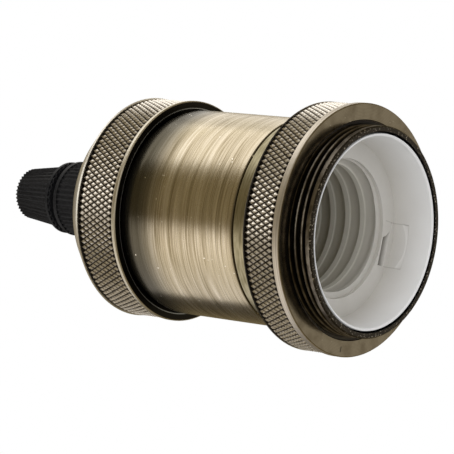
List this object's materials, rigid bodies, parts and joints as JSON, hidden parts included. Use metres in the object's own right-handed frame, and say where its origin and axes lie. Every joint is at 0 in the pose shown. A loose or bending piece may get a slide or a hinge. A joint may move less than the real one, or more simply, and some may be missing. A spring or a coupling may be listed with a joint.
{
  "type": "lamp holder",
  "caption": "Pendant lamp holder: ceramic screw socket in a turned metal shell with a knurled cap, a knurled shade ring and a plastic cord grip.",
  "frame": {"origin": "centre of the neck's rim, on the plane that the holder rests on when it stands mouth down", "axes": "+Z from the mouth up to the cord grip; +Y towards the notch in the porcelain ledge and the side contact"},
  "size_m": [0.048, 0.048, 0.0897],
  "materials": {
    "antique_brass": "brushed, darkened and lacquered",
    "porcelain": "glazed",
    "black_plastic": "satin",
    "bright_brass": "stamped, bright",
    "plated_steel": "zinc plated"
  },
  "bodies": {
    "housing": {"threaded_neck": "antique_brass", "shell": "antique_brass", "rear_cap": "antique_brass", "porcelain_core": "porcelain", "centre_terminal": "bright_brass", "side_terminal": "bright_brass", "terminal_screws": "plated_steel", "contact_screws": "bright_brass", "core_screws": "plated_steel", "core_screw_washers": "plated_steel", "strap": "plated_steel", "stud_nut": "plated_steel", "lock_washer": "plated_steel", "earth_screw": "bright_brass", "earth_washer": "bright_brass", "grip_base": "black_plastic"},
    "shade_ring": {"shade_ring": "antique_brass"},
    "jaw": {"grip_jaw": "black_plastic"},
    "nut": {"grip_nut": "black_plastic"},
    "centre_contact": {"centre_contact": "bright_brass"},
    "side_contact": {"side_contact": "bright_brass"}
  },
  "joints": [
    {"name": "shade_ring_travel", "type": "slide", "parent": "housing", "child": "shade_ring", "axis": [0, 0, -1], "range_m": [0, 0.004]},
    {"name": "grip_jaw_travel", "type": "slide", "parent": "housing", "child": "jaw", "axis": [0, 0, -1], "range_m": [-0.0021, 0.0012]},
    {"name": "grip_nut_turn", "type": "hinge", "parent": "jaw", "child": "nut", "pos_m": [0, 0, 0.0779], "axis": [0, 0, -1], "range_deg": [-504, 288]},
    {"name": "centre_contact_flex", "type": "hinge", "parent": "housing", "child": "centre_contact", "pos_m": [0, -0.0092, 0.03335], "axis": [1, 0, 0], "range_deg": [0, 8], "stiffness_Nm_per_rad": 0.26},
    {"name": "side_contact_flex", "type": "hinge", "parent": "housing", "child": "side_contact", "pos_m": [0, 0.0092, 0.03335], "axis": [1, 0, 0], "range_deg": [0, 9], "stiffness_Nm_per_rad": 0.1}
  ],
  "couplings": [
    {"joint": "grip_nut_turn", "follows": "grip_jaw_travel", "rad_per_m": 4188.8}
  ]
}
